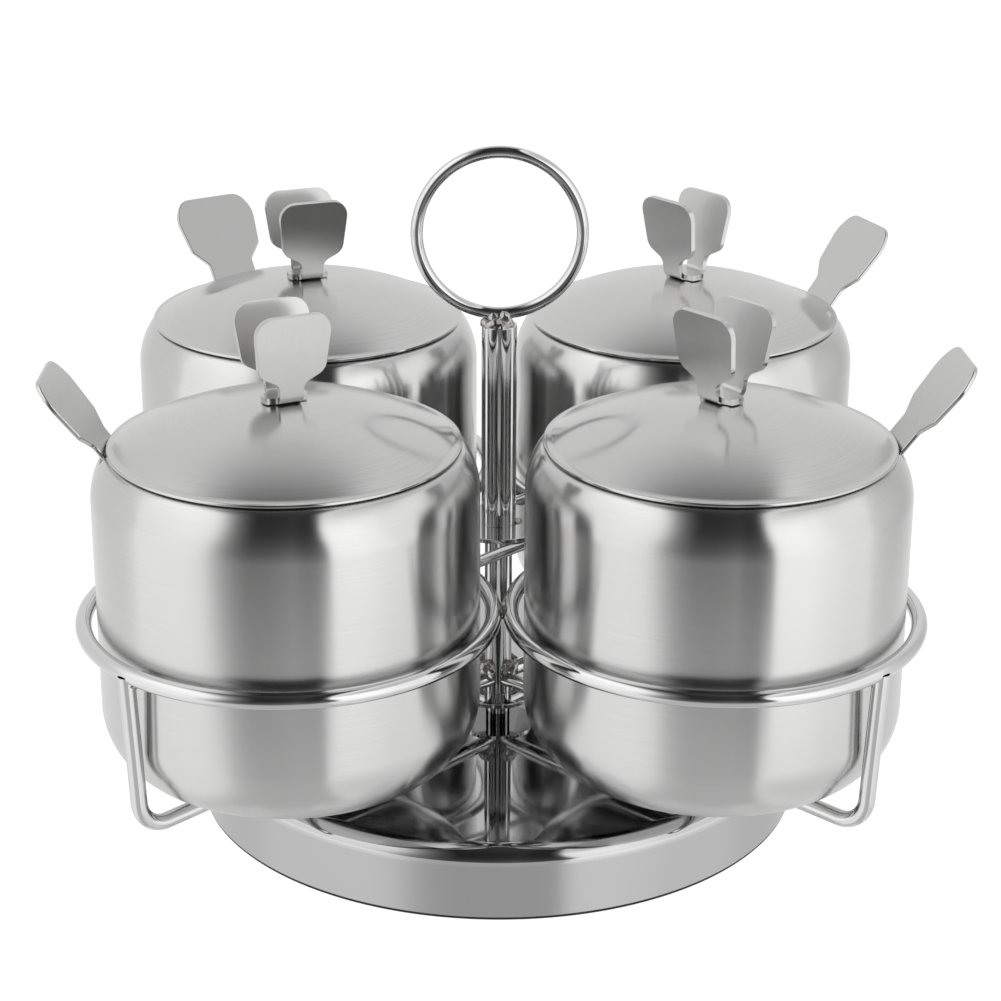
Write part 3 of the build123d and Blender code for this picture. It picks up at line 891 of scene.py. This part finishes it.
# Weld beads
def lump(bm, place, size, seed, rough=BEAD_ROUGH):
    """Lumpy ball of weld metal at a place, with its half sizes in millimetres."""
    size = [half * MM for half in size]
    made = bmesh.ops.create_icosphere(bm, subdivisions=4, radius=1.0)
    for vert in made["verts"]:
        swell = noise.noise(vert.co * BEAD_SWELL_SCALE + Vector((seed, 0, 0)))
        ripple = noise.noise(vert.co * BEAD_RIPPLE_SCALE + Vector((0, seed, 0)))
        vert.co *= 1 + rough * swell + rough * BEAD_RIPPLE * ripple
        vert.co = Vector((vert.co.x * size[0], vert.co.y * size[1], vert.co.z * size[2]))
    bmesh.ops.transform(bm, matrix=place, verts=made["verts"])


def weld_piece(name, bm, node):
    bmesh.ops.recalc_face_normals(bm, faces=bm.faces)
    wire_grain(bm)
    piece = make_piece(name, bm, WELD)
    return settle(piece, "rack", node)


def diagonal(name):
    centre = node_span("holder_ring_" + name)[2]
    return math.atan2(centre.y, centre.x)


def ring_beads():
    """Beads where each holder ring touches its neighbours."""
    centre = node_span("holder_ring_front_left")[2]
    pitch = abs(centre.x)
    out, across, up = RING_BEAD
    bm = bmesh.new()
    for i, (x, y) in enumerate(((0, -pitch), (0, pitch), (-pitch, 0), (pitch, 0))):
        size = (across, out, up) if x == 0 else (out, across, up)
        lump(bm, Matrix.Translation((x, y, centre.z + RING_BEAD_RISE)), size, 3.1 * i)
    weld_piece("ring_beads", bm, "ring_welds")


def corner_beads(name, node, out, height, size, seed):
    """One bead on the diagonal of each corner, at a distance from the post."""
    bm = bmesh.new()
    for i, corner in enumerate(CORNERS):
        spot = Matrix.Rotation(diagonal(corner), 4, "Z") @ Matrix.Translation((out, 0, height))
        lump(bm, spot, size, seed + i)
    weld_piece(name, bm, node)


def disc_bead():
    low, _, centre = node_span("disc_tack")
    bm = bmesh.new()
    lump(bm, Matrix.Translation((centre.x - DISC_BEAD_ASIDE, centre.y, low.z)), DISC_BEAD, 21.0)
    weld_piece("disc_bead", bm, "disc_tack")


def handle_beads():
    low, high, _ = node_span("handle_weld")
    middle = (low.z + high.z) / 2
    bm = bmesh.new()
    for aside, up, size, seed, rough in HANDLE_LUMPS:
        lump(bm, Matrix.Translation((aside * MM, 0, middle + up * MM)), size, seed, rough)
    weld_piece("handle_beads", bm, "handle_weld")


def all_welds():
    ring_low = node_span("holder_ring_front_left")[0]
    arm_low, arm_high, _ = node_span("arm_welds")
    leg_out = leg_reach() - LEG_BEAD_IN
    leg_top = ring_low.z - LEG_BEAD_DROP
    arm = (arm_low.z + arm_high.z) / 2 - ARM_BEAD_DROP
    ring_beads()
    corner_beads("leg_beads", "leg_welds", leg_out, leg_top, LEG_BEAD, 7.7)
    corner_beads("arm_beads", "arm_welds", ARM_BEAD_OUT, arm, ARM_BEAD, 13.3)
    disc_bead()
    handle_beads()


for corner in CORNERS:
    jar(corner)
    lid(corner)
    skirt(corner)
    knob(corner)
    spoon(corner)
    holder_ring(corner)
    leg_wire(corner)
handle()
tie_wire("front")
tie_wire("back")
post_piece("lower_disc", "foot_disc", SPINDLE_BORE_R, DISC_STEPS)
post_piece("middle_disc", "post_disc", SPINDLE_BORE_R, DISC_STEPS)
post_piece("lower_tube", "post_lower", SPINDLE_BORE_R, SMALL_STEPS)
post_piece("upper_tube", "post_upper", half_width("upper_tube") - TUBE_SHEET, SMALL_STEPS)
base_pan()
foot()
all_welds()
for node in ("spindle", "pivot_bush", "spindle_washer", "spindle_nut", "spindle_collar"):
    mesh = frame["nodes"][node].data
    mesh.materials.clear()
    mesh.materials.append(CHROME if node == "pivot_bush" else TURNED_STEEL)


# Camera, as solved from the photograph
CAMERA_AT = Vector((-11.3, -616.8, 319.05)) * MM
CAMERA_TURN = math.radians(1.094)
CAMERA_DOWN = math.radians(21.309)
CAMERA_ROLL = math.radians(-0.276)
CAMERA_LENS = 91.36
CAMERA_SENSOR = 36.0


def set_camera():
    data = bpy.data.cameras.new("camera")
    data.lens = CAMERA_LENS
    data.sensor_width = CAMERA_SENSOR
    data.sensor_fit = "HORIZONTAL"
    camera = bpy.data.objects.new("camera", data)
    turn = Matrix.Rotation(-CAMERA_TURN, 4, "Z")
    tilt = Matrix.Rotation(math.pi / 2 - CAMERA_DOWN, 4, "X")
    roll = Matrix.Rotation(-CAMERA_ROLL, 4, "Z")
    camera.matrix_world = Matrix.Translation(CAMERA_AT) @ turn @ tilt @ roll
    bpy.context.scene.collection.objects.link(camera)
    bpy.context.scene.camera = camera


# Studio. Angles are in degrees, and brightness is that of white paper at 1
# Side panels, by angle to the right of the middle
PANELS = (
    (-90, 0.95), (-66, 1.05), (-54, 1.04), (-46, 0.97), (-41, 0.76), (-37, 0.48), (-33, 0.26),
    (-29, 0.14), (-24, 0.05), (-18, 0.0), (22, 0.0), (25, 0.1), (28, 1.08), (31, 1.22), (46, 1.24),
    (54, 1.16), (62, 1.1), (68, 0.98), (90, 0.92),
)
# How much brighter the panels are overhead than level
PANELS_UP = 0.32
# Share of the right panel that is left, by height, and how far right it counts as that panel
RIGHT_SIDE = (0.15, 0.45)
RIGHT_FALLS = ((-90, 1.0), (25, 1.0), (32, 0.88), (37, 0.7), (42, 0.5), (50, 0.42), (90, 0.42))
# How much the gap between the panels narrows overhead
GAP_CLOSES = 0.6
# Dim front between the panels, by height
GAP = (
    (-90, 0.4), (-40, 0.3), (-22, 0.2), (-12, 0.15), (0, 0.1), (12, 0.06), (25, 0.035), (50, 0.03),
    (90, 0.05),
)
# Streaks in the gap, by angle to the right
STREAKS = (
    (-30, 1.0), (-18, 0.85), (-8, 0.9), (2, 1.15), (6, 1.35), (10, 1.0), (15, 0.85), (25, 1.0),
)
# Wall behind, by angle to the right
BEHIND = (
    (-90, 0.85), (-60, 0.78), (-40, 0.77), (-20, 0.8), (20, 0.8), (36, 0.68), (50, 0.62), (68, 0.72),
    (90, 0.86),
)
# Share of the wall behind, by angle from the front over the top
GIVE_WAY = (
    (0, 0.0), (96, 0.0), (104, 0.24), (112, 0.52), (120, 0.74), (130, 0.92), (140, 1.0), (180, 1.0),
)
# Floor that the camera sees, and the glossy table that only the steel reflects
FLOOR_LIGHT = 1.05
FLOOR_REACH = 6.0
TABLE_LIGHT = 0.55
TABLE_MIRROR = 0.35
TABLE_ROUGHNESS = 0.12
TABLE_FADE = (0.19, 0.38)
TABLE_REACH = TABLE_FADE[1] * 1.1


def plain_sheet(name, material, reach):
    """Square sheet on the ground, as far out as its reach on each side."""
    bm = bmesh.new()
    bmesh.ops.create_grid(bm, x_segments=1, y_segments=1, size=reach)
    piece = make_piece(name, bm, material)
    return piece


def floor_paper():
    """Plain matt white that glows evenly, as paper lit from behind."""
    material = bpy.data.materials.new("floor_paper")
    material.use_nodes = True
    shader = material.node_tree.nodes["Principled BSDF"]
    input_value(shader, "Base Color", (0.0, 0.0, 0.0, 1.0))
    input_value(shader, "Specular IOR Level", 0.0)
    input_value(shader, "Emission Color", (1.0, 1.0, 1.0, 1.0))
    input_value(shader, "Emission Strength", FLOOR_LIGHT)
    return material


def table_top():
    """Glossy white table that fades out round the object."""
    material = bpy.data.materials.new("table_top")
    material.use_nodes = True
    nodes = material.node_tree.nodes
    links = material.node_tree.links
    shader = nodes["Principled BSDF"]
    input_value(shader, "Base Color", (TABLE_MIRROR, TABLE_MIRROR, TABLE_MIRROR, 1.0))
    input_value(shader, "Metallic", 1.0)
    input_value(shader, "Roughness", TABLE_ROUGHNESS)
    input_value(shader, "Emission Color", (1.0, 1.0, 1.0, 1.0))
    input_value(shader, "Emission Strength", TABLE_LIGHT)
    place = nodes.new("ShaderNodeTexCoord")
    reach = nodes.new("ShaderNodeVectorMath")
    reach.operation = "LENGTH"
    links.new(place.outputs["Object"], reach.inputs[0])
    fade = nodes.new("ShaderNodeMapRange")
    fade.interpolation_type = "SMOOTHSTEP"
    input_value(fade, "From Min", TABLE_FADE[0])
    input_value(fade, "From Max", TABLE_FADE[1])
    input_value(fade, "To Min", 1.0)
    input_value(fade, "To Max", 0.0)
    links.new(reach.outputs["Value"], fade.inputs["Value"])
    links.new(fade.outputs[0], shader.inputs["Alpha"])
    return material


def set_floor():
    """White floor for the picture, and the glossy table that the steel reflects."""
    floor = plain_sheet("floor", floor_paper(), FLOOR_REACH)
    floor.visible_glossy = False
    floor.visible_diffuse = False
    floor.visible_shadow = False
    table = plain_sheet("table", table_top(), TABLE_REACH)
    table.visible_camera = False


def light_by_angle(nodes, links, angle, stops, low=-90, high=90):
    """Brightness looked up from an angle in radians, through stops in degrees."""
    share = nodes.new("ShaderNodeMapRange")
    input_value(share, "From Min", math.radians(low))
    input_value(share, "From Max", math.radians(high))
    links.new(angle, share.inputs["Value"])
    ramp = nodes.new("ShaderNodeValToRGB")
    links.new(share.outputs[0], ramp.inputs[0])
    elements = ramp.color_ramp.elements
    elements.remove(elements[1])
    for i, (degrees, light) in enumerate(stops):
        place = (degrees - low) / (high - low)
        element = elements[0] if i == 0 else elements.new(place)
        element.position = place
        element.color = (light / 2, light / 2, light / 2, 1.0)
    return calculate(nodes, links, "MULTIPLY", ramp.outputs[0], 2.0)


def set_world():
    """Soft studio: bright side panels, a paler wall behind, a dim gap in front and overhead."""
    world = bpy.data.worlds.new("studio")
    bpy.context.scene.world = world
    world.use_nodes = True
    nodes = world.node_tree.nodes
    links = world.node_tree.links

    def sum_of(operation, one, other=None):
        return calculate(nodes, links, operation, one, other)

    coordinates = nodes.new("ShaderNodeTexCoord")
    split = nodes.new("ShaderNodeSeparateXYZ")
    links.new(coordinates.outputs["Generated"], split.inputs[0])
    x, y, z = split.outputs
    side = sum_of("ARCSINE", x)
    height = sum_of("ARCSINE", z)
    over = sum_of("ABSOLUTE", sum_of("ARCTAN2", z, sum_of("MULTIPLY", y, -1.0)))
    closing = sum_of("ADD", sum_of("MULTIPLY", sum_of("MAXIMUM", z, 0.0), GAP_CLOSES), 1.0)
    panels = light_by_angle(nodes, links, sum_of("MULTIPLY", side, closing), PANELS)
    panels = sum_of("MULTIPLY", panels, sum_of("ADD", sum_of("MULTIPLY", z, PANELS_UP), 1.0))
    rightward = nodes.new("ShaderNodeMapRange")
    input_value(rightward, "From Min", RIGHT_SIDE[0])
    input_value(rightward, "From Max", RIGHT_SIDE[1])
    links.new(x, rightward.inputs["Value"])
    fallen = sum_of("SUBTRACT", 1.0, light_by_angle(nodes, links, height, RIGHT_FALLS))
    lost = sum_of("MULTIPLY", fallen, rightward.outputs[0])
    panels = sum_of("MULTIPLY", panels, sum_of("SUBTRACT", 1.0, lost))
    gap = light_by_angle(nodes, links, height, GAP)
    gap = sum_of("MULTIPLY", gap, light_by_angle(nodes, links, side, STREAKS))
    front = sum_of("ADD", panels, gap)
    behind = light_by_angle(nodes, links, side, BEHIND)
    share = light_by_angle(nodes, links, over, GIVE_WAY, 0, 180)
    light = nodes.new("ShaderNodeMix")
    links.new(share, light.inputs["Factor"])
    links.new(front, light.inputs["A"])
    links.new(behind, light.inputs["B"])
    # The camera itself sees plain white
    camera_ray = nodes.new("ShaderNodeLightPath").outputs["Is Camera Ray"]
    seen = sum_of("MAXIMUM", light.outputs["Result"], camera_ray)
    background = nodes["Background"]
    links.new(seen, background.inputs["Color"])


set_camera()
set_floor()
set_world()
bpy.context.scene.view_settings.view_transform = "Standard"
